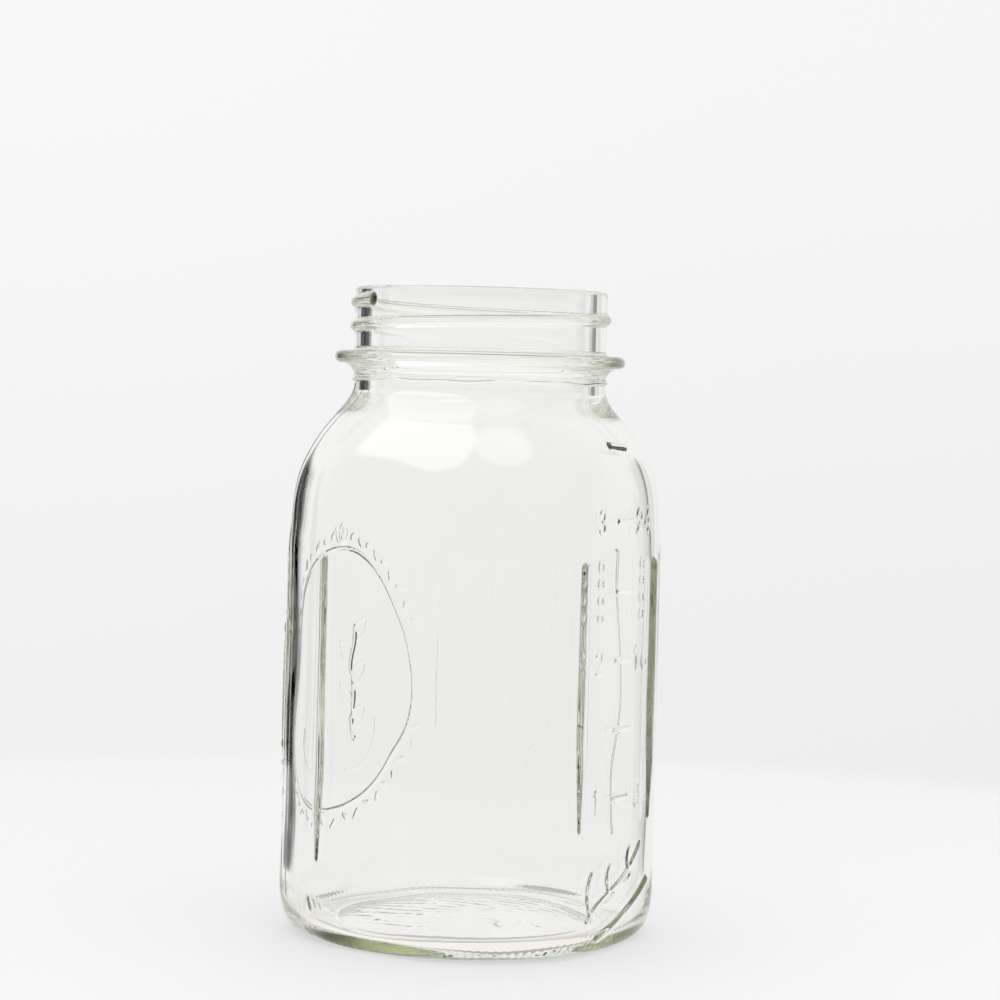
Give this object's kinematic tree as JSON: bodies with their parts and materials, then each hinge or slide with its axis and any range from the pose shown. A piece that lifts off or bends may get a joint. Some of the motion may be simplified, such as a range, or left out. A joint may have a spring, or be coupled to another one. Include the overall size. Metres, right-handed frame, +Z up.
{
  "type": "glass preserving jar",
  "caption": "Clear glass preserving jar with a rounded square body, domed shoulder, threaded neck with a collar, raised volume scale, grip ribs and an oval medallion.",
  "frame": {"origin": "middle of the base, on the surface that the jar stands on", "axes": "+Z up through the mouth, -Y the face with the volume scale, +Y the face with the oval medallion, -X and +X the plain faces with two grip ribs each"},
  "size_m": [0.0926, 0.0932, 0.172],
  "materials": {
    "clear_glass": "clear, fire polished, faint green-grey in the thick parts"
  },
  "bodies": {
    "root": {"glass_jar": "clear_glass"}
  },
  "joints": []
}
